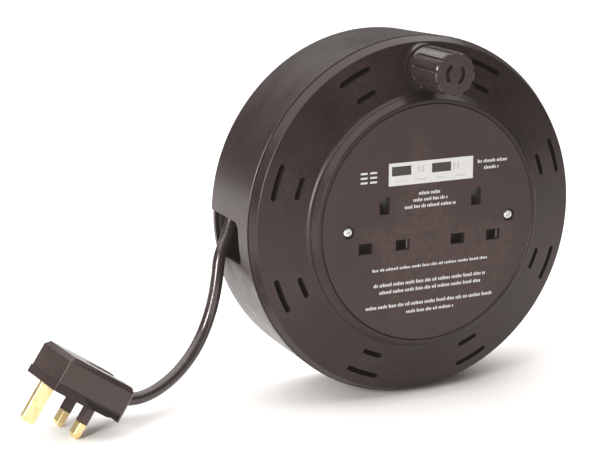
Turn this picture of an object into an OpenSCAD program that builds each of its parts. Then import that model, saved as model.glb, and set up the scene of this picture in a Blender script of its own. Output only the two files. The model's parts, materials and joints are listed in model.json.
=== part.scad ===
// Cassette extension cord reel with two three-pin sockets, a winding knob and a three-pin plug.
// Millimetres, +Z up. The reel stands on the foot under its case and faces -Y.

/* [Case] */
// Outer radius of the case at its front edge
case_front_r = 98.7; // [98.5:0.1:98.9]
// Outer radius of the case at its back
case_rear_r = 96.7; // [96.4:0.1:97.2]
// Thickness of the case's side wall
case_wall = 2.6; // [2.2:0.1:2.8]
// Thickness of the case's back plate
back_t = 2.5; // [2:0.1:3]
// Distance from the socket panel's face to the back of the case
reel_depth = 70.5; // [70.5:0.5:74]
// Height of the spool's axis above the ground
axis_z = 99.5; // [99.2:0.1:101]
// Width of the foot's flat underside
foot_w = 32; // [26:1:40]

/* [Cord outlet] */
// Depth behind the panel at which the outlet starts
outlet_front = 31.5; // [28:0.5:36]
// Height of the outlet's top edge above the axis
outlet_top = 3; // [1:0.5:6]
// Distance of the outlet's bottom edge below the axis
outlet_bottom = 20.5; // [17:0.5:21]
// Rounding of the outlet's front corners
outlet_round = 5; // [2:0.5:8]

/* [Front flange] */
// Outer radius of the flange's rim
rim_r = 98.2; // [97.5:0.1:98.4]
// Depth of the ring behind the panel's face where it meets the raised centre
ring_depth = 6.5; // [6:0.1:9]
// Slope of the ring, which falls back towards the rim
ring_slope = 15.3; // [10:0.1:18]
// Depth of the rim's rear edge
rim_depth = 18.5; // [17:0.5:18.5]
// Thickness of the flange's ring
ring_t = 2.5; // [2:0.1:3]
// Radius at which the raised centre meets the ring
raised_foot_r = 71.4; // [70:0.2:73]
// Outer radius of the raised centre's lip
lip_r = 66.9; // [66.5:0.1:67.5]

/* [Vents] */
// Centre radius of the long vent slots
vent_outer_r = 89.1; // [87:0.1:91]
// Centre radius of the short vent slots
vent_inner_r = 77.3; // [76:0.1:80]
// Half angle between a long slot's end centres
vent_outer_half = 5.55; // [4:0.05:7]
// Half angle between a short slot's end centres
vent_inner_half = 3.55; // [2:0.05:5]
// Width of a vent slot
vent_w = 2.8; // [2:0.1:3.5]

/* [Socket panel] */
// Radius of the socket panel
panel_r = 64.2; // [64:0.1:64.3]
// Thickness of the socket panel
panel_t = 3; // [2.5:0.1:3]
// Distance between the two sockets' centres
socket_pitch = 56; // [54:0.5:58]
// Pitch from line to neutral, and from earth to their line
pin_pitch = 22.2; // [22.2:0.1:22.3]
// Height of the line and neutral openings below the axis
pin_row_drop = 10.4; // [9:0.1:12]
// Distance between the two panel screws
panel_screw_pitch = 98.2; // [96:0.2:100]

/* [Knob] */
// Distance of the knob's stud above the axis
knob_offset = 83.1; // [82:0.1:84]
// Height of the knob's end above the panel's face
knob_reach = 23.5; // [18:0.5:26]
// Radius over the knob's lobes
knob_r = 11.6; // [10.5:0.1:12]
// Number of lobes round the knob
knob_lobes = 11; // [8:1:14]
// Radius of the stud that the knob turns on
stud_r = 4; // [3:0.5:4]

/* [Spool] */
// Outer radius of the drum's barrel
barrel_r = 62.5; // [62:0.1:62.8]
// Outer radius of the drum's rear flange
rear_flange_r = 93.4; // [90:0.1:93.6]
// Outer radius of the flex wound on the drum
wound_r = 81.3; // [75:0.1:81.3]
// Radius of the spindle that the drum turns on
spindle_r = 10.95; // [9:0.05:10.95]

/* [Shutters] */
// Travel of a safety shutter
shutter_travel = 6.3; // [6:0.1:6.5]

/* [Flex and plug] */
// Radius of the flex
cord_r = 3.4; // [3:0.1:3.4]
// Tilt of the plug as it stands on its pins
plug_tilt = 34; // [30:1:38]
// Turn of the plug about an upright line
plug_turn = 2.7; // [0:0.1:5]
// Distance of the plug's line and neutral pins to the left of the axis
plug_x = 185.5; // [183:0.1:187]
// Distance of the plug's centre behind the origin
plug_y = 13.6; // [12:0.1:16]
// Thickness of the plug's body
plug_t = 19.6; // [18.5:0.1:21]
// Thickness of the plug's base below its parting line
plug_base_t = 4.4; // [4:0.1:5.5]

/* [Hidden] */
$fn = 96;
small_fn = 32;
cut = 1;
running = 0.05;
gap = 0.4;

// The knob's end is the front of the reel, and the origin is halfway back
panel_y = knob_reach - (knob_reach + reel_depth) / 2;
seam = 0.8;
case_front = -(rim_depth + seam);
back_front = -(reel_depth - back_t);
// Plane where the flange's inner ring stands on the end of the drum's barrel
flange_back = -12.1;
boss_back = -14;
boss_r = 12;
band_r = 96.3;
skirt_r = 95.6;
skirt_back = -23;
skirt_inner_r = 93.4;
rear_flange_t = 2.2;
rear_flange_front = back_front + gap * 2 + rear_flange_t;
recess_r = panel_r + 0.35;
ledge_r = 61;
ledge_foot_r = 63.4;
ledge_step_r = 65;
ledge_back = -5.4;
raised_inner_r = 67.4;
raised_inner_z = -8;
ear_r = 4.7;
ear_t = 3;
ear_hole_r = 1.8;
plate_r = 95.5;
foot_front = -29;
foot_flare = 6;
foot_top = -92;
back_slot_r = 44;
back_slot_len = 16;
hub_r = 15;
hub_front = rear_flange_front + 14.6;
spindle_front = hub_front + gap;
wound_front = boss_back - 0.2;
wound_back = rear_flange_front + 1;
tail_slot = 2 * cord_r + 0.6;
clamp_xs = [-9, 9];
clamp_y = -46;
clamp_z = -60.5 + cord_r;
clamp_t = 3.5;

vent_right = [63.5, 18, -22.4, -67.4];
vent_angles = concat(vent_right, [for (a = vent_right) 180 - a]);
socket_xs = [-socket_pitch / 2, socket_pitch / 2];
drum_screw_r = 54;
drum_screw_angles = [45, 135, 225, 315];
screw_y = -0.5;
screw_seat = -1.8;
screw_recess_r = 3.4;
screw_shift = 0.4;
panel_screw_xs = [for (s = [-1, 1]) s * panel_screw_pitch / 2 + screw_shift];
screw_head_r = 2.6;
screw_head_h = 1.3;
earth_y = pin_pitch - pin_row_drop;

// Pin openings: width and height
earth_hole = [6, 9.4];
side_hole = [8.4, 5.7];
hole_shift = 0.5;
shutter_w = 34;
shutter_h = 7.2;
shutter_top = -7.1;
shutter_z = -9.6;
shutter_t = 3;
cam_w = 3.6;
cam_rise = 5.8;
cam_foot = 7.9;
spring_closed = 6.4;
spring_foot = shutter_top - shutter_h - shutter_travel - spring_closed;
base_front = -10.4;
base_back = -24;
base_pillars = [for (x = [-7, 7], y = [-25, 17]) [x, y]];
bar_t = 1;
terminal_h = 7;
line_strip_y = -17;
neutral_strip_y = -3.5;
terminal_x = 8;

knob_skirt_r = 11.2;
knob_skirt_z = -6.2;
knob_lobe_z = -3.4;
knob_bevel = 0.6;
groove_r = 1.15;
groove_z = -0.6;
groove_turn = 6.4;
boss_top = -6.6;
stud_top = 12;
stud_head_r = 6.5;
cap_r = 7.2;
cap_t = 2;
knob_slot_r = 4.8;
knob_slot_w = 2.2;
knob_slot_half = 45;

// Plug: live and neutral line at y = 0, flex towards +y, pins along +z
plug_end = -27.2;
plug_cord_end = 14.2;
plug_half_end = 19.2;
plug_half_wide = 22.8;
plug_side = 16.9;
plug_top_bevel = 1.8;
plug_corner = 1.6;
plug_round = 1.5;
plug_bevel = 5;
plug_lip = 0.5;
plug_plate_full = -14.6;
plug_plate_end = -2;
plug_plate_half = plug_half_wide - plug_bevel;
plug_wall = 2.2;
plug_cord_z = -9.5;
side_pin = [6.35, 4];
side_pin_len = 17.2;
earth_pin = [4, 8];
earth_pin_len = 22.2;
sleeve_len = 8.9;
sleeve_t = 0.4;
pin_root = 8;
grip_y = 7.5;
grip_post_x = 8;
grip_t = 1.6;
fuse_r = 3.15;
fuse_len = 25.4;
fuse_y = -23;
fuse_z = -12;
fuse_clip_w = 6.8;
earth_root = 4;
finger_y = 3;
finger_len = 8;
finger_r = 7.5;
finger_t = 0.5;
cover_screw_y = -10;
plug_z = 2 * sin(plug_tilt) + side_pin_len * cos(plug_tilt);

// Route of the flex from the winding, through the outlet, down and along the ground to the plug
cord_route = [
    [-79.5, 37.8, 129.5], [-83.3, 37.8, 118.5], [-86.2, 37.4, 109], [-89.1, 36.2, 100],
    [-93.2, 33.8, 90], [-99, 30.8, 79], [-101.6, 28.8, 68], [-104, 28.2, 57],
    [-107.7, 28, 45.5], [-113.3, 26.3, 35.4], [-119, 24.6, 28.4], [-125, 22.4, 23.3],
    [-131.2, 20.2, 19.3], [-138, 18.4, 15.9], [-145, 16.8, 13.4], [-151, 15.8, 12.2],
    [-156.5, 15.1, 12], [-161.5, 14.8, 12.7], [-165.5, 14.5, 14], [-169.3, 14.3, 16],
    [-176.3, 14, 20.6]
];
// Routes inside the drum, in the face frame: the flex's tail and its three cores
tail_route = [[0, -62.4, -60.5], [0, -56, -60.5], [0, -49, -60.5], [0, -42, -60.5], [0, -36, -60.5]];
line_route = [
    [1.7, -35.9, -61], [1.7, -34.9, -61], [3.5, -32.5, -54], [6.5, -30, -45],
    [8.2, -26, -36], [8, -21, -29.2], [8, -19.1, -29]
];
neutral_route = [
    [-1.7, -35.9, -61], [-1.7, -34.9, -61], [-3.5, -32, -54], [-6.5, -25, -44],
    [-8.2, -15, -35], [-8, -8, -29.2], [-8, -5.6, -29]
];
earth_route = [
    [0, -35.9, -58.8], [0, -34.9, -58.8], [0, -29, -49], [0, -14, -39],
    [0, 1, -32.5], [0, 7.5, -29.2], [0, 9.7, -29]
];

// Points of an arc from angle a to angle b
function arc(c, r, a, b, n = 6) = [for (i = [0:n]) let(t = a + (b - a) * i / n) c + r * [cos(t), sin(t)]];
function unit(v) = v / norm(v);
// Height of the ring's front surface at a radius
function ring_z(r) = -ring_depth - (r - raised_foot_r) * tan(ring_slope);

// Points and faces of a round tube along a route; ref is never parallel to the route
function tangent(p, i) = unit(p[min(i + 1, len(p) - 1)] - p[max(i - 1, 0)]);
function tube_ring(p, i, r, ref, n) =
    let(t = tangent(p, i), u = unit(cross(t, ref)), v = cross(t, u))
    [for (k = [0:n - 1]) p[i] + r * (cos(360 * k / n) * u + sin(360 * k / n) * v)];

module tube(p, r, ref, n = 10) {
    points = [for (i = [0:len(p) - 1]) each tube_ring(p, i, r, ref, n)];
    last = (len(p) - 1) * n;
    side = [for (i = [0:len(p) - 2], k = [0:n - 1]) let(a = i * n, b = a + n, m = (k + 1) % n)
        each [[a + k, b + k, b + m], [a + k, b + m, a + m]]];
    faces = concat([[for (k = [0:n - 1]) k]], side, [[for (k = [n - 1:-1:0]) last + k]]);
    polyhedron(points, faces, convexity = 10);
}

// Face frame: origin where the axis meets the panel's face, x right, y up, z out of the face
module on_face() {
    translate([0, panel_y, axis_z]) rotate([90, 0, 0]) children();
}

module on_plug() {
    translate([-plug_x, plug_y, plug_z]) rotate([0, 0, plug_turn]) rotate([0, plug_tilt, 0])
        rotate([180, 0, 90]) children();
}

// A cylinder between two heights
module post(r, z0, z1, fn = small_fn) {
    translate([0, 0, z0]) cylinder(r = r, h = z1 - z0, $fn = fn);
}

module block(size, z0, z1) {
    translate([-size[0] / 2, -size[1] / 2, z0]) cube([size[0], size[1], z1 - z0]);
}

// A curved slot with round ends, cut between two heights
module arc_slot(r, angle, half, w, z0, z1) {
    tip = r * [cos(half), sin(half)];
    rotate([0, 0, angle]) translate([0, 0, z0]) linear_extrude(height = z1 - z0) polygon(concat(
        arc([0, 0], r + w / 2, -half, half, 8),
        arc(tip, w / 2, half + 30, half + 150, 4),
        arc([0, 0], r - w / 2, half, -half, 8),
        arc([tip[0], -tip[1]], w / 2, 210 - half, 330 - half, 4)));
}

// A pan-head screw with a cross recess, its head standing on z = 0 and its shank below
module cross_screw(head_r, head_h, shank_r, shank_len) {
    rim_h = head_h * 0.6;
    difference() {
        union() {
            post(head_r, 0, rim_h);
            translate([0, 0, rim_h])
                cylinder(r1 = head_r, r2 = head_r * 0.7, h = head_h - rim_h, $fn = small_fn);
            post(shank_r, -shank_len, 0);
        }
        for (turn = [20, 110]) rotate([0, 0, turn])
            block([head_r * 1.1, head_r * 0.24], head_h * 0.4, head_h + cut);
    }
}

// ---- Case, fixed ----

module case_shell() {
    inner_front = case_front_r - case_wall;
    inner_rear = case_rear_r - case_wall;
    rotate_extrude() polygon(concat(
        [[inner_front, case_front], [inner_front + 0.4, case_front + 0.3]],
        [[case_front_r - 0.3, case_front + 0.3], [case_front_r, case_front]],
        [[case_rear_r, -reel_depth + 0.6], [case_rear_r - 0.6, -reel_depth]],
        [[0, -reel_depth], [0, back_front], [inner_rear, back_front]]));
}

module foot() {
    half = foot_w / 2;
    difference() {
        translate([0, 0, back_front]) linear_extrude(height = foot_front - back_front)
            polygon([[-half, -axis_z], [half, -axis_z],
                [half + foot_flare, foot_top], [-half - foot_flare, foot_top]]);
        post(case_rear_r - 0.7, -reel_depth, 0, 96);
    }
}

module outlet_cut() {
    difference() {
        translate([-110, 0, 0]) rotate([90, 0, 90]) linear_extrude(height = 24) union() {
            translate([-outlet_bottom, -reel_depth - cut])
                square([outlet_top + outlet_bottom, reel_depth + cut - outlet_front - outlet_round]);
            for (y = [-outlet_bottom + outlet_round, outlet_top - outlet_round])
                translate([y, -outlet_front - outlet_round]) circle(r = outlet_round, $fn = small_fn);
            translate([-outlet_bottom + outlet_round, -outlet_front - outlet_round])
                square([outlet_top + outlet_bottom - 2 * outlet_round, outlet_round]);
        }
        post(plate_r, -reel_depth - 2 * cut, back_front, 96);
    }
}

module rear_case() color([0.16, 0.14, 0.135]) on_face() {
    difference() {
        union() {
            case_shell();
            foot();
            post(spindle_r, back_front - cut, spindle_front, 96);
        }
        outlet_cut();
        post(2.5, spindle_front - 16, spindle_front + cut);
        for (i = [0:11]) rotate([0, 0, 15 + 30 * i]) {
            for (r = [0, back_slot_len]) translate([0, back_slot_r + r, 0])
                post(1.6, -reel_depth - cut, back_front + cut);
            translate([0, back_slot_r + back_slot_len / 2, 0])
                block([3.2, back_slot_len], -reel_depth - cut, back_front + cut);
        }
        // Shallow ring groove round the middle of the back
        rotate_extrude() translate([30, -reel_depth - cut]) square([2, 0.8 + cut]);
    }
}

module spindle_washer() color("silver") on_face() difference() {
    post(14, spindle_front, spindle_front + 1.5, 96);
    post(2.5, spindle_front - cut, spindle_front + 2 * cut);
}

module spindle_screw() color("silver") on_face()
    translate([0, 0, spindle_front + 1.5]) cross_screw(5, 3, 2.5, 16);

// ---- Spool, turns on the spindle ----

module front_flange() color([0.16, 0.14, 0.135]) on_face() {
    fillet = 3.4;
    corner = 1;
    away = [sin(ring_slope), cos(ring_slope)];
    back = -ring_t / cos(ring_slope);
    // Centres of the arcs where the ring meets the raised centre and the rim's band
    fillet_c = [raised_foot_r, -ring_depth] + fillet * away;
    corner_c = [band_r - corner, ring_z(band_r - corner)] - corner * away;
    difference() {
        union() {
            rotate_extrude() polygon(concat(
                [[ledge_r, -panel_t], [recess_r, -panel_t]],
                arc([recess_r + 0.5, -0.5], 0.5, 180, 90, 3),
                arc([lip_r - 0.7, -0.7], 0.7, 90, 8, 4),
                arc(fillet_c, fillet, 188, 270 - ring_slope, 7),
                arc(corner_c, corner, 90 - ring_slope, 20, 5),
                [[rim_r, -rim_depth + 0.3], [rim_r - 0.3, -rim_depth]],
                [[skirt_r, -rim_depth], [skirt_r, skirt_back], [skirt_inner_r, skirt_back]],
                [[skirt_inner_r, ring_z(skirt_inner_r) + back]],
                [[raised_foot_r - 1, ring_z(raised_foot_r - 1) + back]],
                [[raised_inner_r, raised_inner_z], [ledge_step_r, ledge_back]],
                [[ledge_foot_r, ledge_back], [ledge_foot_r, flange_back]],
                [[ledge_r, flange_back]]));
            for (a = drum_screw_angles) rotate([0, 0, a]) translate([drum_screw_r, 0, 0]) {
                post(ear_r, flange_back, flange_back + ear_t);
                translate([0, -4, flange_back]) cube([ledge_r + 1.5 - drum_screw_r, 8, ear_t]);
            }
            translate([0, knob_offset, 0]) post(boss_r, boss_back, boss_top, 96);
        }
        for (a = vent_angles) {
            arc_slot(vent_outer_r, a, vent_outer_half, vent_w, -rim_depth, 0);
            arc_slot(vent_inner_r, a, vent_inner_half, vent_w, -rim_depth, 0);
        }
        for (a = drum_screw_angles) rotate([0, 0, a]) translate([drum_screw_r, 0, 0])
            post(ear_hole_r, flange_back - cut, flange_back + ear_t + cut);
        translate([0, knob_offset, 0]) {
            post(stud_r, boss_back - cut, boss_top + cut, 96);
            post(stud_head_r, boss_back - cut, boss_back + 1);
        }
    }
}

module spool_drum() color([0.14, 0.125, 0.12]) on_face() {
    root_z = rear_flange_front - 1;
    difference() {
        union() {
            post(rear_flange_r, rear_flange_front - rear_flange_t, rear_flange_front, 96);
            difference() {
                post(barrel_r, root_z, flange_back, 96);
                post(barrel_r - 2.5, rear_flange_front, flange_back + cut, 96);
            }
            post(hub_r, root_z, hub_front, 96);
            for (a = drum_screw_angles) rotate([0, 0, a]) translate([drum_screw_r, 0, 0])
                post(5, root_z, flange_back);
            for (x = panel_screw_xs) translate([x, screw_y, 0]) post(4.5, root_z, -panel_t);
            for (x = clamp_xs) translate([x, clamp_y, 0]) post(3, root_z, clamp_z);
        }
        post(spindle_r + running, -reel_depth, hub_front + cut, 96);
        for (a = drum_screw_angles) rotate([0, 0, a]) translate([drum_screw_r, 0, 0])
            post(1.4, flange_back - 14, flange_back + cut);
        for (x = panel_screw_xs) translate([x, screw_y, 0]) post(1.6, -16, 0);
        for (x = clamp_xs) translate([x, clamp_y, 0]) post(1.2, clamp_z - 6.2, clamp_z + cut);
        // Hole that the flex's tail passes through
        translate([0, -barrel_r, tail_route[0][2]])
            cube([tail_slot, 16, tail_slot], center = true);
    }
}

module drum_screws() color("silver") on_face() for (a = drum_screw_angles)
    rotate([0, 0, a]) translate([drum_screw_r, 0, flange_back + ear_t]) cross_screw(3.2, 2, 1.4, 14);

module wound_cord() color([0.1, 0.09, 0.09]) on_face() rotate_extrude()
    polygon([[barrel_r, wound_front], [wound_r - 2, wound_front], [wound_r, wound_front - 2],
             [wound_r, wound_back + 2], [wound_r - 2, wound_back], [barrel_r, wound_back]]);

// ---- Sockets ----

module at_openings(kind) {
    for (x = socket_xs) {
        if (kind != "side") translate([x, earth_y, 0]) children();
        if (kind != "earth") for (s = [-1, 1])
            translate([x + s * pin_pitch / 2, -pin_row_drop, 0]) children();
    }
}

module socket_panel() color([0.2, 0.175, 0.17]) on_face() difference() {
    post(panel_r, -panel_t, 0, 96);
    translate([hole_shift, 0, 0]) {
        at_openings("earth") block(earth_hole, -panel_t - cut, cut);
        at_openings("side") block(side_hole, -panel_t - cut, cut);
    }
    for (x = panel_screw_xs) translate([x, screw_y, 0]) {
        post(screw_recess_r, screw_seat, cut);
        post(1.9, -panel_t - cut, cut);
    }
}

module panel_screws() color("silver") on_face() for (x = panel_screw_xs)
    translate([x, screw_y, screw_seat])
        cross_screw(screw_head_r, screw_head_h, 1.6, 13);

module rating_label() color("white") on_face()
    translate([0.3, 28.2, 0]) block([51.3, 12.2], 0, 0.2);

// Outer sizes of the contacts' sleeves, and of the pockets that hold them
function grip(kind) = kind == "earth" ? [6.8, 11] : [9.4, 6.8];
function grip_hole(kind) = kind == "earth" ? [4.2, 8.3] : [6.6, 4.2];

module socket_base() color([0.85, 0.83, 0.78]) on_face() difference() {
    guide = shutter_w / 2 + gap;
    union() {
        translate([0, -5.2, 0]) block([95, 48.6], base_back, base_front);
        for (x = socket_xs) {
            // Rails that guide the shutter, and the shelf that its spring stands on
            for (s = [-1, 1]) translate([x + s * (guide + 0.75), -15.5, 0])
                block([1.5, 21], base_front - cut, shutter_z + shutter_t);
            translate([x, spring_foot - 1.25, 0]) block([9, 2.5], base_front - cut, shutter_z + shutter_t);
        }
        // Pillars that stand on the back of the panel
        for (p = base_pillars) translate(p) post(3, base_front - cut, -panel_t);
    }
    for (kind = ["earth", "side"]) at_openings(kind) block(grip(kind), base_back - cut, base_front + cut);
    for (p = base_pillars) translate(p) post(1.3, base_back - cut, -panel_t - 1);
    for (x = panel_screw_xs) translate([x, screw_y, 0]) post(5.2, base_back - cut, 0);
}

module base_screws() color("silver") on_face() for (p = base_pillars)
    translate([p[0], p[1], base_back]) rotate([180, 0, 0]) cross_screw(2.4, 1.6, 1.3, 16);

// Two sleeves joined by a strip on the back of the base, with a terminal block on the strip
module contact_bar(kind, xs, y, strip_y, block_x) {
    low = min(y, strip_y);
    for (x = xs) translate([x, y, 0]) difference() {
        block(grip(kind), base_back, -12);
        block(grip_hole(kind), base_back - cut, -11);
    }
    for (x = xs) translate([x - 2, low - 2, base_back - bar_t]) cube([4, abs(strip_y - y) + 4, bar_t]);
    translate([xs[0] - 2, strip_y - 2, base_back - bar_t]) cube([xs[1] - xs[0] + 4, 4, bar_t]);
    translate([block_x, strip_y, 0]) difference() {
        block([6, 4], base_back - bar_t - terminal_h, base_back - bar_t);
        post(1.2, base_back - bar_t - terminal_h - cut, base_back - bar_t - 3);
    }
}

function side_xs(s) = [for (x = socket_xs) x + s * pin_pitch / 2];

module earth_bar() color("goldenrod") on_face() contact_bar("earth", socket_xs, earth_y, earth_y, 0);

module line_bar() color("goldenrod") on_face()
    contact_bar("side", side_xs(1), -pin_row_drop, line_strip_y, terminal_x);

module neutral_bar() color("goldenrod") on_face()
    contact_bar("side", side_xs(-1), -pin_row_drop, neutral_strip_y, -terminal_x);

module terminal_screws() color("silver") on_face()
    for (p = [[0, earth_y], [terminal_x, line_strip_y], [-terminal_x, neutral_strip_y]])
        translate([p[0], p[1], base_back - bar_t - terminal_h])
            rotate([180, 0, 0]) cross_screw(1.8, 1.2, 1.2, 4);

// ---- Safety shutters and their springs ----

module shutter(x) on_face() translate([x, 0, 0]) difference() {
    union() {
        translate([-shutter_w / 2, shutter_top - shutter_h, shutter_z])
            cube([shutter_w, shutter_h, shutter_t]);
        // Arm up to the earth opening, with the ramp that the earth pin pushes down
        translate([-cam_w / 2, shutter_top - 1, shutter_z]) cube([cam_w, cam_foot - shutter_top, shutter_t]);
        translate([-cam_w / 2, cam_foot, shutter_z]) rotate([90, 0, 90]) linear_extrude(height = cam_w)
            polygon([[-2, 0], [cam_rise, 0], [0, cam_rise], [-2, cam_rise]]);
    }
    translate([0, shutter_top - shutter_h - cut, shutter_z + shutter_t / 2])
        rotate([-90, 0, 0]) post(1.1, 0, 2);
}

module shutter_left() color("ivory") shutter(socket_xs[0]);
module shutter_right() color("ivory") shutter(socket_xs[1]);

// Coil spring between its seat and the shutter
module spring(x) {
    turns = 5;
    wire = 0.25;
    r = 1.3;
    top = shutter_top - shutter_h - wire;
    steps = turns * 8;
    foot_y = spring_foot + wire;
    path = [for (i = [0:steps]) [r * cos(45 * i), r * sin(45 * i), foot_y + (top - foot_y) * i / steps]];
    on_face() translate([x, 0, shutter_z + shutter_t / 2]) rotate([-90, 0, 0]) tube(path, wire, [0, 0, 1], 6);
}

module spring_left() color("silver") spring(socket_xs[0]);
module spring_right() color("silver") spring(socket_xs[1]);

// ---- Flex inside the drum ----

module cord_tail() color([0.1, 0.09, 0.09]) on_face() tube(tail_route, cord_r, [1, 0, 0]);
module core_line() color("saddlebrown") on_face() tube(line_route, 1.2, [1, 0, 0], 8);
module core_neutral() color("royalblue") on_face() tube(neutral_route, 1.2, [1, 0, 0], 8);
module core_earth() color("yellowgreen") on_face() tube(earth_route, 1.2, [1, 0, 0], 8);

module cord_clamp() color([0.85, 0.83, 0.78]) on_face() translate([0, clamp_y, 0]) difference() {
    block([26, 7], clamp_z, clamp_z + clamp_t);
    for (x = clamp_xs) translate([x, 0, 0]) post(1.4, clamp_z - cut, clamp_z + clamp_t + cut);
}

module clamp_screws() color("silver") on_face() for (x = clamp_xs)
    translate([x, clamp_y, clamp_z + clamp_t]) cross_screw(2.4, 1.6, 1.2, 9);

// ---- Winding knob ----

module knob_stud() color("silver") on_face() translate([0, knob_offset, 0]) difference() {
    union() {
        post(stud_r, boss_back, stud_top, 96);
        post(stud_head_r, boss_back, boss_back + 1);
    }
    post(1.5, stud_top - 9, stud_top + cut);
}

module knob_washer() color("silver") on_face() translate([0, knob_offset, 0]) difference() {
    post(6.2, stud_top, stud_top + 1);
    post(1.5, stud_top - cut, stud_top + 2);
}

module knob_screw() color("silver") on_face()
    translate([0, knob_offset, stud_top + 1]) cross_screw(3.4, 2.2, 1.5, 9);

// A groove between two lobes, with a round end
module knob_groove() translate([knob_r + 0.15, 0, 0]) {
    post(groove_r, groove_z, knob_reach + cut, 16);
    translate([0, 0, groove_z]) sphere(r = groove_r, $fn = 16);
}

module winding_knob() color([0.16, 0.14, 0.135]) on_face() translate([0, knob_offset, 0]) difference() {
    rotate_extrude($fn = 110) polygon([
        [0, knob_skirt_z], [knob_skirt_r, knob_skirt_z], [knob_skirt_r, knob_lobe_z],
        [knob_r - knob_bevel / 2, knob_lobe_z], [knob_r, knob_lobe_z + knob_bevel],
        [knob_r, knob_reach - knob_bevel], [knob_r - knob_bevel, knob_reach], [0, knob_reach]]);
    for (i = [0:knob_lobes - 1]) rotate([0, 0, groove_turn + 360 * i / knob_lobes]) knob_groove();
    post(stud_r + running, knob_skirt_z - cut, knob_reach, 96);
    post(cap_r, stud_top - gap, knob_reach + cut, 96);
}

module knob_cap() color([0.16, 0.14, 0.135]) on_face() translate([0, knob_offset, 0]) difference() {
    post(cap_r, knob_reach - cap_t, knob_reach, 96);
    for (a = [-10, 170])
        arc_slot(knob_slot_r, a, knob_slot_half, knob_slot_w, knob_reach - 1.4, knob_reach + cut);
}

// ---- Free flex and plug, on the ground ----

module supply_cord() color([0.1, 0.09, 0.09]) tube(cord_route, cord_r, [0, 1, 0]);

// Outline of the plug, drawn in by a margin
module plug_outline(margin = 0) {
    e = plug_half_end - margin;
    w = plug_half_wide - margin;
    low = plug_end + margin;
    high = plug_cord_end - margin;
    polygon(concat(
        arc([-e + plug_round, low + plug_round], plug_round, 180, 270, 4),
        arc([e - plug_round, low + plug_round], plug_round, 270, 360, 4),
        [[w, -2], [w, high - plug_corner], [w - plug_corner, high]],
        [[-w + plug_corner, high], [-w, high - plug_corner], [-w, -2]]));
}

module plug_slab(margin, z, t) {
    translate([0, 0, z]) linear_extrude(height = t) plug_outline(margin);
}

module plug_pin_holes(z0, z1) {
    translate([0, -pin_pitch, 0]) block(earth_pin, z0, z1);
    for (s = [-1, 1]) translate([s * pin_pitch / 2, 0, 0]) block(side_pin, z0, z1);
}

module plug_base() color([0.12, 0.11, 0.11]) on_plug() difference() {
    union() {
        // Plate on the wall side, with a bevel round it that is a grip for the fingers
        hull() {
            plug_slab(plug_bevel, -0.1, 0.1);
            plug_slab(0, -plug_base_t, 0.6);
        }
        intersection() {
            plug_slab(0, -plug_base_t, plug_base_t);
            translate([0, 0, -plug_base_t]) linear_extrude(height = plug_base_t)
                polygon([[-plug_half_wide, plug_end], [plug_half_wide, plug_end],
                    [plug_half_wide, plug_plate_full], [plug_plate_half, plug_plate_end],
                    [-plug_plate_half, plug_plate_end], [-plug_half_wide, plug_plate_full]]);
        }
        for (s = [-1, 1]) translate([s * grip_post_x, grip_y, 0])
            post(2.6, plug_cord_z - cord_r, -plug_base_t + cut);
    }
    // Room for the cover's end wall
    translate([0, plug_cord_end - 1, 0]) block([2 * plug_half_wide + cut, 2.3], -plug_base_t - cut, cut);
    plug_pin_holes(-plug_base_t - cut, cut);
    translate([0, cover_screw_y, 0]) {
        post(1.4, -plug_base_t - cut, cut);
        post(2.2, -1.6, cut);
    }
    for (s = [-1, 1]) translate([s * grip_post_x, grip_y, 0])
        post(1.1, plug_cord_z - cord_r - cut, -plug_base_t);
}

module plug_cover() color([0.12, 0.11, 0.11]) on_plug() difference() {
    union() {
        difference() {
            hull() {
                plug_slab(plug_lip, -plug_side, plug_side - plug_base_t);
                plug_slab(plug_lip + plug_top_bevel, -plug_t, 0.1);
            }
            plug_slab(plug_wall + plug_lip, -plug_t + plug_wall, plug_t);
        }
        // End wall that reaches down past the base
        intersection() {
            plug_slab(plug_lip, -plug_base_t - cut, plug_base_t + cut - 0.4);
            translate([0, plug_cord_end - 1, 0]) block([2 * plug_half_wide, 2], -plug_t, 0);
        }
        translate([0, cover_screw_y, 0]) post(3.2, -plug_t + 1, -plug_base_t);
    }
    translate([0, plug_cord_end + cut, plug_cord_z]) rotate([90, 0, 0]) post(cord_r + 0.1, 0, 6);
    // Shallow rest for a fingertip on the back
    hull() for (y = [-finger_len / 2, finger_len / 2]) translate([0, finger_y + y, 0])
        post(finger_r, -plug_t - cut, -plug_t + finger_t, 32);
    translate([0, cover_screw_y, 0]) post(1.1, -16, 0);
}

// A pin with a tapered tip, down to the back of the plug's base
module pin(size, len, core) {
    hull() {
        block(size, len - 6, len - 1.6);
        block([size[0] - 1.8, size[1] - 1.8], len - 0.2, len);
    }
    block(core, -plug_base_t, len - 6);
}

module plug_earth_pin() color("goldenrod") on_plug() translate([0, -pin_pitch, 0]) {
    pin(earth_pin, earth_pin_len, earth_pin);
    block([earth_pin[0], earth_root], -pin_root, 0);
}

module side_pin_solid() {
    core = [side_pin[0] - 2 * sleeve_t, side_pin[1] - 2 * sleeve_t];
    pin(side_pin, side_pin_len, core);
    block(side_pin, sleeve_len, side_pin_len - 5.9);
    block(side_pin, -pin_root, 0);
}

module plug_line_pin() color("goldenrod") on_plug() translate([pin_pitch / 2, 0, 0]) side_pin_solid();
module plug_neutral_pin() color("goldenrod") on_plug() translate([-pin_pitch / 2, 0, 0]) side_pin_solid();

module pin_sleeves() color([0.15, 0.14, 0.14]) on_plug() for (s = [-1, 1])
    translate([s * pin_pitch / 2, 0, 0]) difference() {
        block(side_pin, 0, sleeve_len);
        block([side_pin[0] - 2 * sleeve_t, side_pin[1] - 2 * sleeve_t], -cut, sleeve_len + cut);
    }

module plug_fuse() color("wheat") on_plug() translate([pin_pitch / 2, fuse_y, fuse_z])
    rotate([-90, 0, 0]) post(fuse_r, 0, fuse_len);

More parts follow.
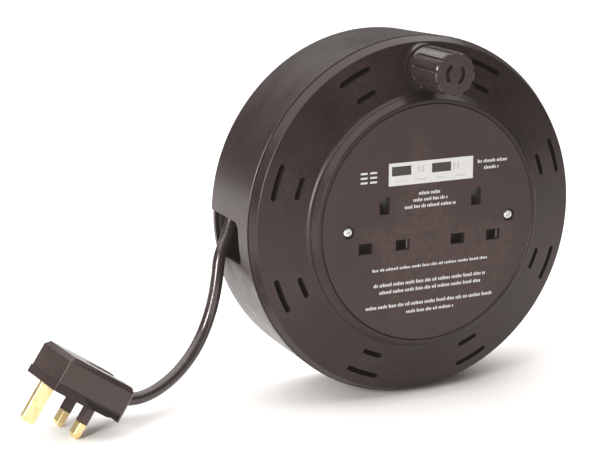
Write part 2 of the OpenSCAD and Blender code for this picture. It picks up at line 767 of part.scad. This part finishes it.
module fuse_clips() color("goldenrod") on_plug() for (y = [fuse_y + 1.5, fuse_y + fuse_len - 3.5])
    translate([pin_pitch / 2, y, 0]) difference() {
        translate([0, 1, 0]) block([fuse_clip_w, 2], fuse_z - 1, -pin_root);
        translate([0, -cut, fuse_z]) rotate([-90, 0, 0]) post(fuse_r, 0, 4);
    }

module plug_cord_grip() color([0.85, 0.83, 0.78]) on_plug() translate([0, grip_y, plug_cord_z - cord_r])
    difference() {
        block([21.5, 5.2], -grip_t, 0);
        for (s = [-1, 1]) translate([s * grip_post_x, 0, 0]) post(1.3, -grip_t - cut, cut);
    }

module grip_screws() color("silver") on_plug() for (s = [-1, 1])
    translate([s * grip_post_x, grip_y, plug_cord_z - cord_r - grip_t])
        rotate([180, 0, 0]) cross_screw(2, 1.2, 1.1, 6);

module plug_cover_screw() color("silver") on_plug()
    translate([0, cover_screw_y, -1.6]) cross_screw(2, 1.3, 1.1, 12);

rear_case();
spindle_washer();
spindle_screw();
front_flange();
spool_drum();
drum_screws();
wound_cord();
socket_panel();
panel_screws();
rating_label();
socket_base();
base_screws();
earth_bar();
line_bar();
neutral_bar();
terminal_screws();
cord_tail();
core_line();
core_neutral();
core_earth();
cord_clamp();
clamp_screws();
knob_stud();
knob_washer();
knob_screw();
winding_knob();
knob_cap();
shutter_left();
shutter_right();
spring_left();
spring_right();
supply_cord();
plug_base();
plug_cover();
plug_earth_pin();
plug_line_pin();
plug_neutral_pin();
pin_sleeves();
plug_fuse();
fuse_clips();
plug_cord_grip();
grip_screws();
plug_cover_screw();
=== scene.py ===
# The looks of a cassette extension cord reel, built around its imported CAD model. Metres, +Z up.
import json
import math
import bmesh
import bpy
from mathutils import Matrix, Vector


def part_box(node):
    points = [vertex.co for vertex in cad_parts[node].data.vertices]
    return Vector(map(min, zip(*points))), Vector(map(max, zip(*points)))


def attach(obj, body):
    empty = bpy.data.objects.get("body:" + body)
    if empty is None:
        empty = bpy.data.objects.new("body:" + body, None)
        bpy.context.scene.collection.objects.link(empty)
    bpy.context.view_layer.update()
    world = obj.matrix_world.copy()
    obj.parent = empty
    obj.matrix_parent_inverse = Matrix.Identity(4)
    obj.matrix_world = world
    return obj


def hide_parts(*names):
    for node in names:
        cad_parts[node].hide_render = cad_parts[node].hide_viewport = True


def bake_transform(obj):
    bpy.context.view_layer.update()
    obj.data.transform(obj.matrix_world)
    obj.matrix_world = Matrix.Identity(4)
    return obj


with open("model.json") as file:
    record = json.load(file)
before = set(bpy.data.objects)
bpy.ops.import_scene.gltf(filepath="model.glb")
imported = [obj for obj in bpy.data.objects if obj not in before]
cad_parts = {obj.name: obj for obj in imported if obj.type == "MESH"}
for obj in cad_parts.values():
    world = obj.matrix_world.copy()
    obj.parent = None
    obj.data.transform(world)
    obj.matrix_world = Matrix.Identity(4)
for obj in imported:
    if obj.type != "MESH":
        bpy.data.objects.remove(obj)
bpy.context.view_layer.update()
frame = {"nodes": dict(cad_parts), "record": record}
nodes = frame["nodes"]

MM = 0.001
PANEL_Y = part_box("socket_panel")[0][1]
AXIS_Z = 0.0995     # The spool's axis above the floor
CORD_D = 0.0068
CORD_R = CORD_D / 2


def link(obj):
    bpy.context.scene.collection.objects.link(obj)
    return obj


def on_face(x, up, out=0.0):
    """A point on the socket panel's face, in millimetres: right of the axis, above it, and out of it."""
    return Vector((x * MM, PANEL_Y - out * MM, AXIS_Z + up * MM))


# ---- Camera ----

# The photograph's viewing angle: degrees that the camera looks down, and degrees that it turns from +Y
CAMERA_PLACE = (-0.4916, -0.8723, 0.3298)
CAMERA_DOWN = 13.42
CAMERA_TURN = -26.02
LENS = 112.9
SENSOR = 36


def make_camera():
    data = bpy.data.cameras.new("camera")
    data.sensor_width = SENSOR
    data.lens = LENS
    data.clip_start = 0.05
    data.clip_end = 20
    camera = link(bpy.data.objects.new("camera", data))
    camera.location = CAMERA_PLACE
    camera.rotation_euler = (math.radians(90 - CAMERA_DOWN), 0, math.radians(CAMERA_TURN))
    bpy.context.scene.camera = camera


make_camera()


# ---- Materials ----

class Nodes:
    """A material's node tree, with short calls for the nodes that this scene needs."""

    def __init__(self, name):
        self.material = bpy.data.materials.new(name)
        self.material.use_nodes = True
        self.tree = self.material.node_tree
        self.shader = self.tree.nodes["Principled BSDF"]
        self.place = self.add("ShaderNodeTexCoord").outputs["Object"]

    def add(self, kind, **values):
        node = self.tree.nodes.new(kind)
        for key, value in values.items():
            setattr(node, key, value)
        return node

    def join(self, out, socket):
        self.tree.links.new(out, socket)

    def set(self, **values):
        names = {"rough": "Roughness", "metal": "Metallic", "ior": "IOR",
                 "spec": "Specular IOR Level", "tint": "Specular Tint"}
        for key, value in values.items():
            self.shader.inputs[names[key]].default_value = value

    def noise(self, scale, detail=3.0, stretch=None):
        node = self.add("ShaderNodeTexNoise")
        node.inputs["Scale"].default_value = scale
        node.inputs["Detail"].default_value = detail
        place = self.place
        if stretch:
            mapping = self.add("ShaderNodeMapping")
            mapping.inputs["Scale"].default_value = stretch
            self.join(place, mapping.inputs["Vector"])
            place = mapping.outputs["Vector"]
        self.join(place, node.inputs["Vector"])
        return node.outputs["Fac"]

    def range(self, value, low, high, to_low, to_high):
        node = self.add("ShaderNodeMapRange")
        limits = {"From Min": low, "From Max": high, "To Min": to_low, "To Max": to_high}
        for key, number in limits.items():
            node.inputs[key].default_value = number
        self.join(value, node.inputs["Value"])
        return node.outputs["Result"]

    def mix(self, factor, a, b):
        node = self.add("ShaderNodeMix", data_type="RGBA")
        self.join(factor, node.inputs["Factor"])
        for socket, colour in ((node.inputs["A"], a), (node.inputs["B"], b)):
            if isinstance(colour, tuple):
                socket.default_value = (*colour, 1)
            else:
                self.join(colour, socket)
        return node.outputs["Result"]

    def math(self, operation, a, b):
        node = self.add("ShaderNodeMath", operation=operation)
        for socket, value in zip(node.inputs, (a, b)):
            if isinstance(value, float):
                socket.default_value = value
            else:
                self.join(value, socket)
        return node.outputs["Value"]

    def bump(self, height, strength, depth):
        node = self.add("ShaderNodeBump")
        node.inputs["Strength"].default_value = strength
        node.inputs["Distance"].default_value = depth
        self.join(height, node.inputs["Height"])
        previous = self.shader.inputs["Normal"].links
        if previous:
            self.join(previous[0].from_socket, node.inputs["Normal"])
        self.join(node.outputs["Normal"], self.shader.inputs["Normal"])


# The tint of the black plastics' reflections, and the pale dust on plastic and on flex
WARM = (1.0, 0.87, 0.85, 1)
PLASTIC_DUST = (0.42, 0.40, 0.37)
FLEX_DUST = (0.36, 0.34, 0.31)


def scaled(colour, factor):
    return tuple(channel * factor for channel in colour)


def plastic(name, colour, rough, grain=0.15, shade=False, spec=0.5):
    """Moulded plastic: faint grain, uneven gloss, scratches, dust specks, pale worn edges, painted shade
    in the inner corners and, when shade is set, painted shade on faces that point down.
    """
    n = Nodes(name)
    mottle = n.noise(45)
    fine = n.noise(320, 4)
    scratch = n.noise(90, 2, (1, 14, 0.6))
    scratch_b = n.noise(70, 2, (16, 1, 1.2))
    base = n.mix(n.range(mottle, 0.3, 0.7, 0, 1), scaled(colour, 0.86), scaled(colour, 1.16))
    # Scuffs that are a little paler, in thin broken lines
    lines = n.math("MAXIMUM", n.range(scratch, 0.66, 0.72, 0, 1),
                   n.range(scratch_b, 0.67, 0.73, 0, 1))
    lines = n.math("MULTIPLY", lines, n.range(fine, 0.5, 0.62, 0, 0.35))
    base = n.mix(lines, base, scaled(colour, 2.2))
    specks = n.math("MULTIPLY", n.range(n.noise(1500, 1), 0.745, 0.78, 0, 1),
                    n.range(mottle, 0.5, 0.66, 0, 0.3))
    base = n.mix(specks, base, PLASTIC_DUST)
    edge = n.add("ShaderNodeNewGeometry").outputs["Pointiness"]
    worn = n.math("MULTIPLY", n.range(edge, 0.515, 0.60, 0, 0.35),
                  n.range(fine, 0.35, 0.65, 0.2, 1))
    base = n.mix(worn, base, scaled(colour, 3.2))
    gloss = n.math("ADD", n.range(mottle, 0.3, 0.7, rough - 0.05, rough + 0.05),
                   n.range(fine, 0.3, 0.7, -0.03, 0.04))
    gloss = n.math("ADD", gloss, n.math("MULTIPLY", lines, 0.25))
    # Painted shade in the inner corners: the colour darkens and the gloss dulls where ambient occlusion
    # finds the surface hidden
    corner = n.add("ShaderNodeAmbientOcclusion", samples=8)
    corner.inputs["Distance"].default_value = 0.012
    painted_corner_shade = n.range(corner.outputs["AO"], 0.45, 0.9, 0.62, 0.0)
    base = n.mix(painted_corner_shade, base, scaled(colour, 0.25))
    gloss = n.math("ADD", gloss, n.math("MULTIPLY", painted_corner_shade, 0.3))
    if shade:
        # Painted shade: the surfaces that face the ground are coloured darker and made duller
        facing = n.add("ShaderNodeSeparateXYZ")
        n.join(n.add("ShaderNodeNewGeometry").outputs["Normal"], facing.inputs["Vector"])
        painted_underside_shade = n.range(facing.outputs["Z"], -0.25, -0.6, 0, 1)
        base = n.mix(painted_underside_shade, base, scaled(colour, 0.12))
        gloss = n.math("ADD", gloss, n.math("MULTIPLY", painted_underside_shade, 0.4))
    n.join(base, n.shader.inputs["Base Color"])
    n.join(gloss, n.shader.inputs["Roughness"])
    n.bump(n.noise(2600, 2), grain, 0.00006)
    n.bump(lines, 0.25, 0.00003)
    n.set(ior=1.5, tint=WARM, spec=spec)
    return n.material


def sheath(name, colour, rough):
    """Extruded PVC: drawn lines along the cord, a greasy uneven sheen and a little dust."""
    n = Nodes(name)
    mottle = n.noise(60)
    fine = n.noise(900, 3)
    base = n.mix(n.range(mottle, 0.3, 0.7, 0, 1), scaled(colour, 0.8), scaled(colour, 1.25))
    dust = n.math("MULTIPLY", n.range(n.noise(1300, 1), 0.72, 0.77, 0, 1),
                  n.range(mottle, 0.45, 0.6, 0, 0.35))
    base = n.mix(dust, base, FLEX_DUST)
    n.join(base, n.shader.inputs["Base Color"])
    n.join(n.range(n.math("ADD", mottle, fine), 0.6, 1.4, rough - 0.08, rough + 0.09),
           n.shader.inputs["Roughness"])
    n.bump(n.noise(240, 3), 0.22, 0.00025)
    n.bump(fine, 0.15, 0.00005)
    n.set(ior=1.52, spec=0.85, tint=WARM)
    return n.material


def metal(name, colour, rough, tarnish, lines=(1, 1, 12)):
    """Metal with fine drawn lines, tarnish in patches and small dents."""
    n = Nodes(name)
    patch = n.noise(260, 4)
    drawn = n.noise(700, 2, lines)
    base = n.mix(n.range(patch, 0.42, 0.68, 0, 0.75), colour, tarnish)
    n.join(base, n.shader.inputs["Base Color"])
    gloss = n.math("ADD", n.range(patch, 0.35, 0.7, rough, rough + 0.16),
                   n.range(drawn, 0.3, 0.7, 0, 0.12))
    n.join(gloss, n.shader.inputs["Roughness"])
    n.bump(drawn, 0.15, 0.00004)
    n.bump(n.noise(180, 2), 0.15, 0.0001)
    n.set(metal=1.0)
    return n.material


def printed(name, colour):
    """Screen-printed ink: slightly uneven cover and a soft sheen."""
    n = Nodes(name)
    thin = n.noise(1400, 2)
    n.join(n.mix(n.range(thin, 0.35, 0.75, 0, 1), colour, scaled(colour, 0.78)),
           n.shader.inputs["Base Color"])
    n.join(n.range(thin, 0.3, 0.7, 0.42, 0.55), n.shader.inputs["Roughness"])
    n.bump(thin, 0.1, 0.00002)
    return n.material


def ceramic(name, colour, rough):
    """Pale unglazed moulding, such as the sockets' base or the fuse's tube."""
    n = Nodes(name)
    cloud = n.noise(160, 4)
    n.join(n.mix(n.range(cloud, 0.3, 0.7, 0, 1), scaled(colour, 0.88), colour),
           n.shader.inputs["Base Color"])
    n.join(n.range(cloud, 0.3, 0.7, rough - 0.06, rough + 0.08), n.shader.inputs["Roughness"])
    n.bump(n.noise(1800, 2), 0.15, 0.00006)
    return n.material


MATERIALS = {
    "case_plastic": plastic("case_plastic", (0.0145, 0.0092, 0.0084), 0.30, spec=0.38),
    "drum_plastic": plastic("drum_plastic", (0.018, 0.013, 0.012), 0.45),
    "panel_plastic": plastic("panel_plastic", (0.026, 0.0165, 0.0150), 0.38, grain=0.3,
                             spec=0.40),
    "knob_plastic": plastic("knob_plastic", (0.019, 0.0125, 0.0115), 0.20, grain=0.08,
                            spec=0.45),
    "plug_plastic": plastic("plug_plastic", (0.026, 0.0170, 0.0152), 0.26),
    "flex_sheath": sheath("flex_sheath", (0.020, 0.0160, 0.0155), 0.22),
    "core_brown": sheath("core_brown", (0.16, 0.06, 0.025), 0.4),
    "core_blue": sheath("core_blue", (0.03, 0.12, 0.40), 0.4),
    "core_green_yellow": sheath("core_green_yellow", (0.30, 0.45, 0.05), 0.4),
    "label_white": printed("label_white", (0.58, 0.575, 0.57)),
    "insulator": ceramic("insulator", (0.78, 0.75, 0.66), 0.45),
    "shutter_plastic": plastic("shutter_plastic", (0.020, 0.017, 0.017), 0.5, grain=0.1),
    "brass": metal("brass", (0.96, 0.80, 0.42), 0.24, (0.82, 0.56, 0.26)),
    "steel_zinc": metal("steel_zinc", (0.80, 0.80, 0.78), 0.22, (0.52, 0.51, 0.48),
                        (6, 1, 6)),
    "spring_steel": metal("spring_steel", (0.60, 0.60, 0.60), 0.28, (0.35, 0.34, 0.33)),
    "fuse_ceramic": ceramic("fuse_ceramic", (0.80, 0.74, 0.62), 0.35),
}
# The plug's base is duller and a little darker, with painted shade where it faces the ground
base_plastic = plastic("base_plastic", (0.020, 0.0130, 0.0118), 0.34, shade=True,
                       spec=0.22)
label_ink = printed("label_ink", (0.032, 0.027, 0.026))
faint_ink = printed("faint_ink", (0.45, 0.45, 0.45))

slots = {part["node"]: part["material_slot"] for part in frame["record"]["subparts"]}


def dress(obj, material):
    obj.data.materials.clear()
    obj.data.materials.append(material)


for name, node in nodes.items():
    dress(node, MATERIALS[slots[name]])
dress(nodes["plug_base"], base_plastic)


def piece(obj, body, slot, *replaced, material=None):
    """A new piece that rides on a body, takes a slot's finish and may stand for CAD nodes."""
    if obj.name not in bpy.context.scene.collection.objects:
        link(obj)
    dress(obj, material or MATERIALS[slot])
    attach(obj, body)
    if replaced:
        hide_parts(*replaced)
    return obj


# ---- Cords ----

# The free end's route in millimetres, as in the CAD model
ROUTE = [
    (-79.5, 37.8, 129.5), (-83.3, 37.8, 118.5), (-86.2, 37.4, 109), (-89.1, 36.2, 100),
    (-93.2, 33.8, 90), (-99, 30.8, 79), (-101.6, 28.8, 68), (-104, 28.2, 57),
    (-107.7, 28, 45.5), (-113.3, 26.3, 35.4), (-119, 24.6, 28.4), (-125, 22.4, 23.3),
    (-131.2, 20.2, 19.3), (-138, 18.4, 15.9), (-145, 16.8, 13.4), (-151, 15.8, 12.2),
    (-156.5, 15.1, 12), (-161.5, 14.8, 12.7), (-165.5, 14.5, 14), (-169.3, 14.3, 16),
    (-176.3, 14, 20.6),
]


def curve_piece(name, points, kind, radius=CORD_R):
    data = bpy.data.curves.new(name, "CURVE")
    data.dimensions = "3D"
    data.bevel_depth = radius
    data.bevel_resolution = 6
    data.resolution_u = 8
    data.use_fill_caps = True
    spline = data.splines.new(kind)
    if kind == "BEZIER":
        spline.bezier_points.add(len(points) - 1)
        for knot, point in zip(spline.bezier_points, points):
            knot.co = point
            knot.handle_left_type = knot.handle_right_type = "AUTO"
    else:
        spline.points.add(len(points) - 1)
        for knot, point in zip(spline.points, points):
            knot.co = (*point, 1)
    return link(bpy.data.objects.new(name, data))


def winding_route():
    """Three layers of turns side by side on the drum, and a last turn that crosses over them.

    Angles are in degrees and radii in millimetres. Each layer starts by climbing from the one below.
    """
    low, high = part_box("wound_cord")
    front = low[1] + CORD_R
    back = high[1] - CORD_R
    radii = [65.9, 72.0, 78.0, 85.0]
    layers = len(radii) - 1
    start_angle = -90
    end_angle = 159.3 + 360 * 19
    last = 360
    layer_turn = (end_angle - last - start_angle) / layers
    climb = 50
    step = 12
    points = []
    for i in range(int((end_angle - start_angle) / step) + 1):
        swept = step * i
        layer = min(int(swept / layer_turn), layers)
        span = layer_turn if layer < layers else last
        along = (swept - layer * layer_turn) / span
        if layer % 2 == 0 and layer < layers:
            y = back + (front - back) * along
        else:
            y = front + (back - front) * along
        radius = radii[layer]
        if layer > 0 and along * span < climb:
            part = along * span / climb
            below = radii[layer - 1]
            radius = below + (radii[layer] - below) * part * part * (3 - 2 * part)
        angle = math.radians(start_angle + swept)
        points.append(Vector((radius * MM * math.cos(angle), y,
                              AXIS_Z + radius * MM * math.sin(angle))))
    return points


def make_cords():
    turns = winding_route()
    wound = piece(curve_piece("winding", turns, "POLY"), "spool", "flex_sheath", "wound_cord")
    route = [Vector(p) * MM for p in ROUTE]
    lead = piece(curve_piece("lead", route, "BEZIER"), "root", "flex_sheath", "supply_cord")


make_cords()


# ---- Shutter springs ----

def make_springs():
    """Each coil stands on the sockets' base and reaches the top of its CAD spring."""
    wire = 0.25 * MM
    turns = 5
    steps_a_turn = 16
    for side in ("left", "right"):
        low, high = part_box("spring_" + side)
        x, y = (low[0] + high[0]) / 2, (low[1] + high[1]) / 2
        radius = (high[0] - low[0]) / 2 - wire
        foot, rise = low[2] + wire, high[2] - low[2] - 2 * wire
        points = []
        for i in range(turns * steps_a_turn + 1):
            angle = 2 * math.pi * i / steps_a_turn
            points.append(Vector((x + radius * math.cos(angle), y + radius * math.sin(angle),
                                  foot + rise * i / (turns * steps_a_turn))))
        path = curve_piece("coil_path", points, "POLY", wire)
        view = bpy.context.evaluated_depsgraph_get()
        mesh = bpy.data.meshes.new_from_object(path.evaluated_get(view))
        coil = link(bpy.data.objects.new("coil_" + side, mesh))
        bpy.data.objects.remove(path)
        dress(coil, MATERIALS["spring_steel"])
        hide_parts("spring_" + side)
        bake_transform(coil)


make_springs()


# ---- Printed plate and rows on the socket panel ----

def flat_boxes(name, boxes, base, slot, material=None):
    """Print as thin blocks that ride with the panel.

    Each box is left, right, bottom and top in millimetres, and stands on a ground at base.
    """
    bm = bmesh.new()
    for left, right, bottom, top in boxes:
        corners = [(left, bottom), (right, bottom), (right, top), (left, top)]
        lower = [bm.verts.new(on_face(x, y, base)) for x, y in corners]
        upper = [bm.verts.new(on_face(x, y, base + INK_HEIGHT)) for x, y in corners]
        bm.faces.new(upper)
        bm.faces.new(lower[::-1])
        for i in range(4):
            j = (i + 1) % 4
            bm.faces.new((lower[i], lower[j], upper[j], upper[i]))
    bmesh.ops.recalc_face_normals(bm, faces=bm.faces)
    mesh = bpy.data.meshes.new(name)
    bm.to_mesh(mesh)
    bm.free()
    return piece(bpy.data.objects.new(name, mesh), "spool", slot, material=material)


INK_HEIGHT = 0.03       # All in millimetres: print over its ground,
BLOCK_WIDTH = 0.62      # a block of a row of print,
BLOCK_PITCH = 0.95      # one block to the next,
GROUP_GAP = 0.75        # the space between groups,
ROW_END = 0.5           # and the least room for a block


def greeked_row(left, right, middle, tall, seed):
    """A row of small blocks in groups, which stands for a line of print and spells nothing."""
    boxes = []
    x = left
    index = seed
    bottom = middle - tall / 2
    while x < right - ROW_END:
        group = 3 + (index * 5) % 6
        for k in range(group):
            if x > right - ROW_END:
                break
            high = tall * (1.0 if (index * 3 + k * 7) % 5 == 0 else 0.72)
            boxes.append((x, x + BLOCK_WIDTH, bottom, bottom + high))
            x += BLOCK_PITCH
        x += GROUP_GAP
        index += 1
    return boxes


PRINT_ROWS = [
    # left, right, middle and height of each row
    (29.0, 47.4, 30.9, 1.9), (33.0, 42.2, 27.3, 1.9),
    (-7.0, 7.1, 16.9, 2.0), (-10.3, 10.8, 13.4, 1.9), (-15.4, 15.5, 9.9, 1.9),
    (-34.6, 36.4, -22.8, 1.6), (-33.8, 35.0, -31.3, 2.0), (-30.4, 32.4, -35.3, 2.0),
    (-38.4, 39.6, -43.2, 2.0), (-13.8, 15.2, -47.5, 1.9),
]


def make_print():
    boxes = []
    for i, (left, right, middle, tall) in enumerate(PRINT_ROWS):
        boxes += greeked_row(left, right, middle, tall, i)
    # Plain mark left of the plate: two stacks of bars
    for left in (-42.0, -36.4):
        boxes += [(left, left + 4.0, up, up + 1.0) for up in (24.7, 27.2, 29.7)]
    flat_boxes("panel_print", boxes, 0.0, "label_white")
    # On the white plate, whose face is this far out of the panel: dark blocks and faint marks
    plate_face = 0.2
    flat_boxes("plate_blocks", [(-23.6, -12.0, 27.4, 32.4), (0.6, 12.3, 27.4, 32.4)], plate_face,
               "panel_plastic", label_ink)
    faint = []
    for left, right in ((-21.8, -13.8), (-9.8, -1.8), (3.0, 9.4), (15.0, 22.6)):
        faint += greeked_row(left, right, 24.6, 1.3, 2)
    for left, right in ((-8.0, -3.2), (13.6, 24.0)):
        faint += [(x, x + 1.3, 28.0, 31.8) for x in (left, left + 2.4)]
    flat_boxes("plate_marks", faint, plate_face, "label_white", faint_ink)


make_print()


# ---- Rounded edges on the CAD pieces ----

def round_edges(node, width, segments, angle):
    """Breaks a CAD piece's sharp edges as its mould would.

    The width is in millimetres, and angle is the least one that is rounded, in degrees.
    """
    obj = nodes[node]
    weld = obj.modifiers.new("weld", "WELD")
    weld.merge_threshold = 0.000002
    flat = obj.modifiers.new("flat", "DECIMATE")
    flat.decimate_type = "DISSOLVE"
    flat.angle_limit = math.radians(0.3)
    bevel = obj.modifiers.new("bevel", "BEVEL")
    bevel.width = width * MM
    bevel.segments = segments
    bevel.limit_method = "ANGLE"
    bevel.angle_limit = math.radians(angle)
    bevel.harden_normals = False
    bevel.use_clamp_overlap = True


for name in ("plug_base", "plug_cover"):
    round_edges(name, 0.45, 3, 15)
for name in ("plug_earth_pin", "plug_line_pin", "plug_neutral_pin"):
    round_edges(name, 0.5, 3, 20)
round_edges("socket_panel", 0.35, 2, 40)


# ---- Studio ----

WORLD_COLOUR = (1.0, 0.93, 0.91, 1)
WORLD_STRENGTH = 0.22
PAPER_TONES = ((0.92, 0.90, 0.88), (0.95, 0.93, 0.91))
FLOOR_HALF = 3
# A lens's slight veil, which lifts the darkest tones
LENS_VEIL = (-0.0125, -0.0105, -0.0092)


def area_light(name, place, size, power, aim):
    data = bpy.data.lights.new(name, "AREA")
    data.shape = "RECTANGLE"
    data.size = size[0]
    data.size_y = size[1]
    data.energy = power
    light = link(bpy.data.objects.new(name, data))
    light.location = place
    light.rotation_euler = (Vector(aim) - Vector(place)).to_track_quat("-Z", "Y").to_euler()


def make_studio():
    world = bpy.data.worlds.new("studio")
    world.use_nodes = True
    background = world.node_tree.nodes["Background"]
    background.inputs["Color"].default_value = WORLD_COLOUR
    background.inputs["Strength"].default_value = WORLD_STRENGTH
    bpy.context.scene.world = world
    # A broad softbox straight above, mostly behind the reel, and a small one low on the left
    area_light("overhead", (-0.3, 1.1, 2.0), (5, 4.4), 150, aim=(-0.3, 1.1, 0))
    area_light("key", (-1.12, -0.68, 0.42), (0.4, 0.62), 19, aim=(0, 0, 0.09))
    bm = bmesh.new()
    bmesh.ops.create_grid(bm, x_segments=1, y_segments=1, size=FLOOR_HALF)
    mesh = bpy.data.meshes.new("floor")
    bm.to_mesh(mesh)
    bm.free()
    floor = link(bpy.data.objects.new("floor", mesh))
    n = Nodes("paper")
    n.join(n.mix(n.range(n.noise(6), 0.3, 0.7, 0, 1), *PAPER_TONES), n.shader.inputs["Base Color"])
    n.set(rough=0.9)
    mesh.materials.append(n.material)
    view = bpy.context.scene.view_settings
    view.view_transform = "Standard"
    view.use_curve_mapping = True
    view.curve_mapping.black_level = LENS_VEIL


make_studio()
